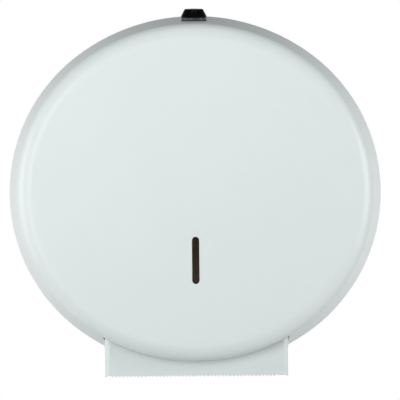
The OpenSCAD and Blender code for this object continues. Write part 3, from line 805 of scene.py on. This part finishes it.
def set_round(tree, repeated, count, start):
    """Instances of an object set round the Z axis. The first is turned by start steps."""
    one = add_node(tree, "GeometryNodeObjectInfo", {"Object": repeated}, transform_space="ORIGINAL")
    places = add_node(tree, "GeometryNodePoints", {"Count": count})
    index = add_node(tree, "GeometryNodeInputIndex").outputs[0]
    step = math_node(tree, "DIVIDE", 2 * math.pi, count)
    angle = math_node(tree, "MULTIPLY", math_node(tree, "ADD", index, start), step)
    euler = add_node(tree, "ShaderNodeCombineXYZ", {"Z": angle})
    turn = add_node(tree, "FunctionNodeEulerToRotation", {0: euler.outputs[0]})
    return add_node(tree, "GeometryNodeInstanceOnPoints",
                    {"Points": places.outputs[0], "Instance": one.outputs["Geometry"],
                     "Rotation": turn.outputs[0]}).outputs[0]


around, given, out = geometry_group("around_axis", [("Repeated", "NodeSocketObject"),
                                                    ("Count", "NodeSocketInt"), ("Start", "NodeSocketFloat"),
                                                    ("Finish", "NodeSocketMaterial")])
ring = set_round(around, given["Repeated"], given["Count"], given["Start"])
joined = around.nodes.new("GeometryNodeJoinGeometry")
around.links.new(ring, joined.inputs[0])
around.links.new(given["Geometry"], joined.inputs[0])
end_of_tree(around, joined.outputs[0], given["Finish"], out)

# A rib reaches a little into the tube, the sleeve and the floor between them
bm = bmesh.new()
overlap = 0.2 * mm
inner_radius = hub_radius - hub_wall
rib_inner = sleeve_radius - overlap
rib_outer = inner_radius + overlap
rib_low = hub_front - pocket_depth - overlap
rib_high = hub_front - 0.8 * mm
plate(bm, [[(rib_inner, rib_low), (rib_outer, rib_low), (rib_outer, rib_high), (rib_inner, rib_high)]],
      2 * rib_half, Matrix.Translation((0, rib_half, 0)) @ from_wall)
rib = edges_broken(piece_from(bm, "hub_rib"), 0.25 * mm)

bm = bmesh.new()
bush_bore = bush_radius + close_fit
turned(bm, [(bush_bore, hub_rear), (hub_collar - 0.5 * mm, hub_rear),
            (hub_collar - 0.15 * mm, hub_rear + 0.15 * mm),
            (hub_collar, hub_rear + 0.5 * mm), (hub_collar, hub_rear + 2.5 * mm),
            (hub_collar - 0.15 * mm, hub_rear + 2.85 * mm), (hub_collar - 0.5 * mm, hub_rear + 3 * mm),
            (hub_radius + 1 * mm, hub_rear + 3 * mm), (hub_radius + 0.3 * mm, hub_rear + 3.3 * mm),
            (hub_radius, hub_rear + 4 * mm), (hub_radius, hub_front - 1.5 * mm),
            (hub_radius - 0.5 * mm, hub_front - 0.5 * mm), (hub_radius - 1.5 * mm, hub_front),
            (inner_radius + 0.3 * mm, hub_front), (inner_radius, hub_front - 0.3 * mm),
            (inner_radius, hub_front - pocket_depth), (sleeve_radius, hub_front - pocket_depth),
            (sleeve_radius, hub_front - 0.3 * mm), (sleeve_radius - 0.3 * mm, hub_front),
            (bush_bore, hub_front), (bush_bore, hub_front - bush_length),
            (inner_radius, hub_front - bush_length),
            (inner_radius, hub_rear + bush_length), (bush_bore, hub_rear + bush_length)])
hub = piece_from(bm, "hub_moulding")
grey_plastic = finish("grey_plastic", moulded_skin, {"Color": (0.17, 0.178, 0.187, 1), "Roughness": 0.5,
                                                     "Grain Size": 0.35 * mm, "Grain Height": 0.012 * mm})
run_tree(hub, around, {"Repeated": rib, "Count": rib_count, "Start": 0.5, "Finish": grey_plastic})
bpy.data.objects.remove(rib)
hub.data.transform(from_wall)
smooth(painted(hub, grey_plastic))
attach(hub, "hub")
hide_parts("roll_hub")

bm = bmesh.new()
for low in (hub_rear, hub_front - bush_length):
    high = low + bush_length
    turned(bm, ring_profile(running_bore, bush_radius, low, high, 0.4 * mm, 0.2 * mm), from_wall)
nylon = finish("nylon", moulded_skin, {"Color": (0.7, 0.67, 0.56, 1), "Roughness": 0.42, "Rubbing": 0.1,
                                       "Grain Height": 0.004 * mm},
               Subsurface_Weight=0.25, Subsurface_Scale=0.002)
bushes = painted(smooth(piece_from(bm, "nylon_bushes")), nylon)
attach(bushes, "hub")
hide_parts("hub_bushes")

# ---- Latch keeper ------------------------------------------------------------------------------
# A zinc plated steel strip, bent twice: a foot riveted to the plate, an arm forward and a hook that
# the lock's cam turns in behind.
keeper_sheet = 1.5 * mm
keeper_bend = 1 * mm
arm_x = 24 * mm
hook_depth = 78.796 * mm
hook_end = 12.5 * mm
hook_high = keeper_high.z - 6 * mm
hook_low = keeper_low.z + 2 * mm
foot_radius = keeper_bend + keeper_sheet

# In plan, the strip's rear side from the foot's end forward to the hook's
keeper_plan = straight((keeper_high.x, back_sheet), (arm_x + foot_radius, back_sheet), 6)
keeper_plan += bend((arm_x + foot_radius, back_sheet + foot_radius), foot_radius, -90, -180, 8)
keeper_plan += straight((arm_x, back_sheet + foot_radius), (arm_x, flange_depth), 3)
keeper_plan += straight((arm_x, flange_depth), (arm_x, hook_depth / 2), 6)
keeper_plan += straight((arm_x, hook_depth / 2), (arm_x, hook_depth - keeper_bend), 6)
keeper_plan += bend((arm_x - keeper_bend, hook_depth - keeper_bend), keeper_bend, 0, 90, 6)
keeper_plan += straight((arm_x - keeper_bend, hook_depth), (hook_end, hook_depth), 3)
keeper_plan.append(Vector((hook_end, hook_depth)))
bm = bmesh.new()
columns = []
for p in keeper_plan:
    high = lerp(keeper_high.z, hook_high, (p.y - flange_depth) / (hook_depth / 2 - flange_depth))
    low = lerp(keeper_low.z, hook_low, (p.y - hook_depth / 2) / (hook_depth / 2))
    columns.append([bm.verts.new((p.x, -p.y, low + (high - low) * k / 4)) for k in range(5)])
for first, second in zip(columns, columns[1:]):
    band(bm, first, second, closed=False)
keeper = piece_from(bm, "keeper_strip")
painted(keeper, zinc_plate)
# Its foot has to look at the wall, because the sheet's thickness goes the other way
foot_faces = keeper.data.polygons[:4]
if sum(face.normal.y for face in foot_faces) < 0:
    keeper.data.flip_normals()
thickened(keeper, keeper_sheet)
shaded_flat(edges_broken(keeper, 0.25 * mm))
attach(keeper, "housing")
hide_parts("keeper_bracket")

# ---- Rivets ------------------------------------------------------------------------------------
# Blind steel rivets, zinc plated, with domed heads that keep the end of their broken mandrel. Four
# hold the chute, four the spindle's base and two the keeper to the back plate.
rivet_head = 3.5 * mm
rivet_dome = 1.5 * mm
mandrel = 1.05 * mm

riveting, given, out = geometry_group("riveting", [("Rivet", "NodeSocketObject"),
                                                   ("Finish", "NodeSocketMaterial")])
pattern = add_node(riveting, "GeometryNodeObjectInfo", {"Object": given["Rivet"]}, transform_space="ORIGINAL")
set_out = add_node(riveting, "GeometryNodeInstanceOnPoints",
                   {"Points": given["Geometry"], "Instance": pattern.outputs["Geometry"]})
end_of_tree(riveting, set_out.outputs[0], given["Finish"], out)

for node, places, grip in (("chute_rivets", chute_rivet_places, back_sheet + chute_sheet),
                           ("spindle_rivets", base_rivet_places, base_high),
                           ("keeper_rivets", keeper_rivet_places, back_sheet + keeper_sheet)):
    top = grip + rivet_dome
    bm = bmesh.new()
    turned(bm, [(0, 0), (rivet_shank, 0), (rivet_shank, grip), (rivet_head, grip),
                (rivet_head, grip + 0.35 * mm), (2.9 * mm, grip + 1 * mm), (2 * mm, grip + 1.38 * mm),
                (mandrel + 0.35 * mm, top), (mandrel + 0.1 * mm, top - 0.12 * mm),
                (mandrel, top - 0.6 * mm), (0.2 * mm, top - 0.45 * mm), (0, top - 0.45 * mm)], from_wall, 32)
    rivet = smooth(piece_from(bm, "rivet"), 50)
    mesh = bpy.data.meshes.new(node)
    mesh.from_pydata([(x, 0, z) for x, z in places], [], [])
    row = bpy.data.objects.new(node + "_set", mesh)
    bpy.context.scene.collection.objects.link(row)
    run_tree(row, riveting, {"Rivet": rivet, "Finish": zinc_plate})
    bpy.data.objects.remove(rivet)
    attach(row, "housing")
    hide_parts(node)

# ---- Cover -------------------------------------------------------------------------------------
# One deep-drawn steel sheet: an oval face, a rounded edge and a side wall that flares to the wall.
# It is cut out below for the chute and has a sight slot in front. Outside it is powder coated
# white; inside it has only its primer, darkened as painted shade for the dim inside of the case.
rim_depth = -cover_high.y
face_depth = -cover_low.y
cover_sheet = 1.2 * mm
draft = math.radians(7)
edge_radius = 14.5 * mm
lip_depth = face_depth - 14 * mm
notch_half_width = 82.6 * mm
slot_half_width = 3.2 * mm
slot_length = 41.3 * mm
slot_height = -59.9 * mm
columns_outside = 448
columns_in_notch = 112
edge_steps = 18
lock_joint = next(joint for joint in frame["joints"] if joint["name"] == "lock_turn")
on_wall = Matrix.Translation(lock_joint["pos_m"]) @ Matrix.Rotation(draft, 4, "X")
barrel_radius = 8 * mm


def wall_inset(depth):
    """How far the side wall stands in from the rim's outline."""
    return (depth - rim_depth) * math.tan(draft)


def cover_row(inset, depth):
    """One turn round the cover: up the right side, over the top and down, then across the notch."""
    notch_turn = math.acos(notch_half_width / (end_radius - inset))
    outside = math.pi + 2 * notch_turn
    below = math.pi - 2 * notch_turn
    turns = [-notch_turn + outside * k / columns_outside for k in range(columns_outside)]
    turns += [-notch_turn + outside + below * k / columns_in_notch for k in range(columns_in_notch)]
    return [oval_point(turn, inset, depth) for turn in turns]


def oblong(half_width, length, grow, steps=16):
    """The outline of a slot with round ends, made larger all round by grow."""
    radius = half_width + grow
    reach = length / 2 - half_width
    ends = [(1, math.pi * k / steps) for k in range(steps + 1)]
    ends += [(-1, math.pi + math.pi * k / steps) for k in range(steps + 1)]
    return [(radius * math.cos(turn), side * reach + radius * math.sin(turn)) for side, turn in ends]


def cut_by(piece, cutter):
    """Cuts a shape out of a piece, and then removes it."""
    boolean = piece.modifiers.new("cut", "BOOLEAN")
    boolean.operation = "DIFFERENCE"
    boolean.solver = "EXACT"
    boolean.object = cutter
    made_plain(piece)
    bpy.data.objects.remove(cutter)


edge_inset = wall_inset(face_depth - edge_radius) + edge_radius / math.cos(draft)
wall_depths = [rim_depth, rim_depth + 1.5 * mm, 12 * mm, 30 * mm, 50 * mm, 70 * mm, 90 * mm,
               lip_depth - 4 * mm, lip_depth]
cover_rows = [(wall_inset(depth), depth) for depth in wall_depths]
for step in range(edge_steps + 1):
    lean = draft + (math.pi / 2 - draft) * step / edge_steps
    cover_rows.append((edge_inset - edge_radius * math.cos(lean),
                       face_depth - edge_radius + edge_radius * math.sin(lean)))
cover_rows += [(edge_inset + 0.5 * mm, face_depth), (edge_inset + 2.5 * mm, face_depth)]

bm = bmesh.new()
rows = [[bm.verts.new(point) for point in cover_row(*row)] for row in cover_rows]
notch = range(columns_outside, columns_outside + columns_in_notch)
for index, (first, second) in enumerate(zip(rows, rows[1:])):
    band(bm, first, second, skip=notch if index < len(wall_depths) - 1 else ())
slot_rings = [[bm.verts.new((x, -face_depth, slot_height + z))
               for x, z in oblong(slot_half_width, slot_length, grow)] for grow in (0, 0.5 * mm, 1.5 * mm)]
for first, second in zip(slot_rings, slot_rings[1:]):
    band(bm, first, second)
filled(bm, [rows[-1], slot_rings[-1]], (0, -1, 0))
cover = piece_from(bm, "cover")
# The inner side takes the darkened primer, which paints in the shade inside the case.
painted(cover, white_coat, primer_with_painted_shade)
thickened(cover, cover_sheet, inside=1)
edges_broken(cover, 0.35 * mm, 3)

# The lock's hole. Its count of steps keeps its corners off the cover's own columns of points.
bm = bmesh.new()
hole_radius = barrel_radius + 0.3 * mm
hole_reach = 5 * mm
hole_steps = 62
turned(bm, [(0, -hole_reach), (hole_radius, -hole_reach), (hole_radius, hole_reach), (0, hole_reach)],
       on_wall, hole_steps)
cut_by(cover, piece_from(bm, "lock_hole"))
shaded_flat(cover)
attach(cover, "cover")
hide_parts("cover_shell")

# ---- Hinge -------------------------------------------------------------------------------------
# Two round steel ears, welded inside the lower corners of the cover and coated with it, turn on
# zinc plated pins that are pressed into them. A nylon washer keeps each ear off the chute.
hinge = Vector(next(joint["pos_m"] for joint in frame["joints"] if joint["name"] == "cover_hinge"))
pin_radius = 2.5 * mm
ear_radius = 6.5 * mm
ear_sheet = 1.5 * mm
pin_head = 4.5 * mm
pin_head_start = 77.7 * mm
pin_head_end = 79.5 * mm
spacer_start = 81.3 * mm

ear_bm = bmesh.new()
pin_bm = bmesh.new()
spacer_bm = bmesh.new()
for side in (-1, 1):
    outwards = Matrix.Translation((0, hinge.y, hinge.z)) @ Matrix.Rotation(side * math.pi / 2, 4, "Y")
    plate(ear_bm, [circle(ear_radius, 48), circle(pin_radius + close_fit, 32)], ear_sheet,
          outwards @ Matrix.Translation((0, 0, notch_half_width)))
    pin_end = notch_half_width + ear_sheet
    turned(pin_bm, [(0, pin_head_start), (pin_head - 0.9 * mm, pin_head_start),
                    (pin_head - 0.25 * mm, pin_head_start + 0.3 * mm), (pin_head, pin_head_start + 0.9 * mm),
                    (pin_head, pin_head_end - 0.1 * mm), (pin_head - 0.1 * mm, pin_head_end),
                    (pin_radius, pin_head_end), (pin_radius, pin_end - 0.4 * mm),
                    (pin_radius - 0.4 * mm, pin_end), (0, pin_end)], outwards, 48)
    bore = pin_radius + 0.1 * mm
    rim = ear_radius - ear_sheet
    turned(spacer_bm, [(bore, spacer_start), (rim - 0.2 * mm, spacer_start), (rim, spacer_start + 0.2 * mm),
                       (rim, spacer_start + 0.8 * mm), (rim - 0.2 * mm, spacer_start + 1 * mm),
                       (bore, spacer_start + 1 * mm)], outwards, 48)
ears = painted(shaded_flat(edges_broken(piece_from(ear_bm, "hinge_ears"), 0.25 * mm)), white_coat)
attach(ears, "cover")
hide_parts("cover_shell")

pins = painted(smooth(piece_from(pin_bm, "hinge_pin_pair")), zinc_plate)
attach(pins, "cover")
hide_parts("hinge_pins")

spacers = painted(smooth(piece_from(spacer_bm, "hinge_spacers")), nylon)
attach(spacers, "housing")
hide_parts("hinge_washers")

# ---- Lock --------------------------------------------------------------------------------------
# A cam lock in the top of the cover: a dark grey threaded housing on a rubber seal, held from inside
# by a washer and a nut, and in it a polished black head with notches for the fingers and a keyway.
# Its stem carries the steel cam, which turns in behind the keeper's hook.
seal_high = 0.8 * mm
collar_radius = 11.3 * mm
collar_high = 3.2 * mm
barrel_low = -13.5 * mm
thread_pitch = 1 * mm
thread_depth = 0.45 * mm
stem_radius = 4.5 * mm
washer_top = -1.577 * mm
washer_low = washer_top - 0.8 * mm
nut_low = washer_low - 4 * mm
nut_flat = 11 * mm
stem_bore = stem_radius + 0.05 * mm
head_low = 3.5 * mm
head_high = 10.3 * mm
head_base = 11.7 * mm
head_top = 8.2 * mm
notch_count = 8
notch_half = 0.7 * mm
notch_depth = 0.9 * mm
well_radius = 4 * mm
well_depth = 3 * mm
keyway_half = 0.7 * mm
keyway_length = 5.4 * mm
keyway_depth = 1.2 * mm
square_half = 3 * mm
cam_low = -15.8 * mm
cam_sheet = 2 * mm
screw_hole_end = -7.7 * mm


def seated(point):
    """Lets the seal's lower face follow the curved side wall."""
    sag = point.x ** 2 / (2 * end_radius)
    return point - Vector((0, 0, sag * (1 - point.z / seal_high)))


def threaded(point):
    """Cuts a helical thread into the barrel below the seal."""
    radius = math.hypot(point.x, point.y)
    phase = (point.z / thread_pitch - math.atan2(point.y, point.x) / (2 * math.pi)) % 1
    run_out = lerp(0, 1, (point.z - barrel_low) / thread_pitch) * lerp(0, 1, -point.z / thread_pitch)
    cut = thread_depth * run_out * abs(2 * phase - 1) if radius > barrel_radius - hair else 0
    share = (radius - cut) / radius
    return Vector((point.x * share, point.y * share, point.z))


def hexagonal(point):
    """Holds a point of the nut inside its six flats."""
    radius = math.hypot(point.x, point.y)
    turn = math.atan2(point.y, point.x)
    limit = nut_flat / math.cos((turn + math.pi / 6) % (math.pi / 3) - math.pi / 6)
    share = min(radius, limit) / radius
    return Vector((point.x * share, point.y * share, point.z))


def squared(point):
    """Holds a point of the stem's lower end inside its four flats."""
    if point.z > cam_low + cam_sheet - hair or math.hypot(point.x, point.y) < square_half:
        return point
    share = square_half / max(abs(point.x), abs(point.y), square_half)
    return Vector((point.x * share, point.y * share, point.z))


# What is cut out round an axis: the head's notches and the screw's cross. Input 2 of the boolean is
# its Self Intersection, which the cross's wings need, as they meet in the middle.
cutting, given, out = geometry_group("cut_around_axis", [("Cutter", "NodeSocketObject"),
                                                         ("Count", "NodeSocketInt"),
                                                         ("Finish", "NodeSocketMaterial")])
cutters = add_node(cutting, "GeometryNodeRealizeInstances",
                   {"Geometry": set_round(cutting, given["Cutter"], given["Count"], 0.5)})
taken = add_node(cutting, "GeometryNodeMeshBoolean", {0: given["Geometry"], 1: cutters.outputs[0], 2: True},
                 operation="DIFFERENCE", solver="EXACT")
end_of_tree(cutting, taken.outputs[0], given["Finish"], out)

lock_grey = finish("lock_grey", moulded_skin, {"Color": (0.022, 0.022, 0.024, 1), "Roughness": 0.42,
                                               "Grain Size": 0.2 * mm, "Grain Height": 0.006 * mm})
lock_black = finish("lock_black", moulded_skin, {"Color": (0.0015, 0.0015, 0.0018, 1), "Roughness": 0.14,
                                                 "Grain Size": 0.8 * mm, "Grain Height": 0.002 * mm,
                                                 "Rubbing": 0.1}, Specular_IOR_Level=0.12)

bm = bmesh.new()
turned(bm, [(barrel_radius + close_fit, 0), (collar_radius, 0), (collar_radius, 0.6 * mm),
            (collar_radius - 0.06 * mm, 0.74 * mm), (collar_radius - 0.2 * mm, seal_high),
            (barrel_radius + close_fit, seal_high)], on_wall, shape=seated)
seal = painted(smooth(piece_from(bm, "seal_ring")), rubber)
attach(seal, "cover")
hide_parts("lock_seal")

bm = bmesh.new()
thread_step = 0.25 * mm
thread = [(barrel_radius, barrel_low + thread_step * k) for k in range(1, 54)]
turned(bm, [(stem_bore, barrel_low), (barrel_radius - 0.25 * mm, barrel_low)] + thread
       + [(barrel_radius, seal_high), (collar_radius - 0.15 * mm, seal_high),
          (collar_radius, seal_high + 0.15 * mm), (collar_radius, collar_high - 0.6 * mm),
          (collar_radius - 0.1 * mm, collar_high - 0.4 * mm), (collar_radius - 0.5 * mm, collar_high),
          (stem_bore, collar_high)], on_wall, 72, threaded)
housing = painted(smooth(piece_from(bm, "lock_barrel"), 40), lock_grey)
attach(housing, "cover")
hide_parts("lock_housing")

play = 0.1 * mm
inner_washer = washer("nut_washer", barrel_radius + play, nut_flat, washer_low, washer_top, play, on_wall)
painted(inner_washer, zinc_plate)
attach(inner_washer, "cover")
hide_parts("lock_washer")

bm = bmesh.new()
nut_corner = nut_flat / math.cos(math.pi / 6)
nut_bore = barrel_radius + close_fit
turned(bm, [(nut_bore, nut_low + 0.4 * mm), (nut_bore + 0.4 * mm, nut_low), (nut_flat - 0.3 * mm, nut_low),
            (nut_corner, nut_low + 0.95 * mm), (nut_corner, washer_low - 0.95 * mm),
            (nut_flat - 0.3 * mm, washer_low), (nut_bore + 0.4 * mm, washer_low),
            (nut_bore, washer_low - 0.4 * mm)], on_wall, 120, hexagonal)
nut = painted(smooth(piece_from(bm, "hexagon_nut"), 20), zinc_plate)
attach(nut, "cover")
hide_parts("lock_nut")

# The head. Just under its notches, its side keeps a row of points all round.
bm = bmesh.new()
screw_radius = 2 * mm
screw_bore = screw_radius + close_fit
slope = (head_base - head_top) / (head_high - head_low)
side_row = notch_depth + 0.25 * mm
well_floor = head_high - well_depth
square_low = cam_low + 0.05 * mm
square_corner = square_half * math.sqrt(2)
rings = turned(bm, [(well_radius, well_floor), (well_radius, head_high - 0.25 * mm),
                    (well_radius + 0.25 * mm, head_high), (head_top - 0.45 * mm, head_high),
                    (head_top - 0.2 * mm, head_high - 0.06 * mm), (head_top, head_high - 0.22 * mm),
                    (head_top + 0.16 * mm, head_high - 0.5 * mm),
                    (head_top + slope * side_row, head_high - side_row),
                    (head_base - 0.25 * mm, head_low + 0.5 * mm),
                    (head_base - 0.08 * mm, head_low + 0.2 * mm), (head_base - 0.3 * mm, head_low),
                    (stem_radius, head_low), (stem_radius, cam_low + cam_sheet),
                    (square_corner, cam_low + cam_sheet - 2 * hair), (square_corner, square_low),
                    (screw_bore, square_low), (screw_bore, screw_hole_end), (0, screw_hole_end)],
               shape=squared, closed=False)
keyway = [[bm.verts.new((x, y, height)) for x, y in oblong(keyway_half, keyway_length, 0)]
          for height in (well_floor, well_floor - keyway_depth)]
band(bm, keyway[0], keyway[1])
filled(bm, [rings[0], keyway[0]], (0, 0, 1))
filled(bm, [keyway[1]], (0, 0, 1))
head = piece_from(bm, "black_head")

bm = bmesh.new()
notch_start = well_radius + 1 * mm
cutter_high = 3 * mm
plate(bm, [[(notch_start, -notch_half), (head_base, -notch_half), (head_base, notch_half),
            (notch_start, notch_half)]], cutter_high, Matrix.Translation((0, 0, head_high - notch_depth)))
notch_cutter = piece_from(bm, "finger_notch")
run_tree(head, cutting, {"Cutter": notch_cutter, "Count": notch_count, "Finish": lock_black})
bpy.data.objects.remove(notch_cutter)
head.data.transform(on_wall)
smooth(painted(head, lock_black), 28)
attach(head, "lock")
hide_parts("lock_head")

cam = painted(softened("lock_cam", "cam_plate", 0.25 * mm), zinc_plate)
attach(cam, "lock")
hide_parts("lock_cam")

bm = bmesh.new()
screw_head = 4 * mm
screw_low = cam_low - 2 * mm
screw_high = cam_low + 7.8 * mm
turned(bm, [(0, screw_low), (1.8 * mm, screw_low), (2.8 * mm, screw_low + 0.14 * mm),
            (3.5 * mm, screw_low + 0.48 * mm), (screw_head - 0.1 * mm, screw_low + 1 * mm),
            (screw_head, screw_low + 1.5 * mm), (screw_head, cam_low - 0.1 * mm),
            (screw_head - 0.1 * mm, cam_low), (screw_radius, cam_low), (screw_radius, screw_high - 0.4 * mm),
            (screw_radius - 0.4 * mm, screw_high), (0, screw_high)], steps=48, closed=False)
screw = piece_from(bm, "cross_screw")
bm = bmesh.new()
wing = [(0, -0.42 * mm), (0.9 * mm, -0.42 * mm), (2.3 * mm, -0.3 * mm), (2.3 * mm, 0.3 * mm),
        (0.9 * mm, 0.42 * mm), (0, 0.42 * mm)]
cross_depth = 1.4 * mm
cross_start = screw_low - 0.3 * mm
plate(bm, [wing], cross_depth, Matrix.Translation((0, 0, cross_start)))
cross = piece_from(bm, "cross_wing")
run_tree(screw, cutting, {"Cutter": cross, "Count": 4, "Finish": zinc_plate})
bpy.data.objects.remove(cross)
screw.data.transform(on_wall)
smooth(painted(screw, zinc_plate))
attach(screw, "lock")
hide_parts("cam_screw")
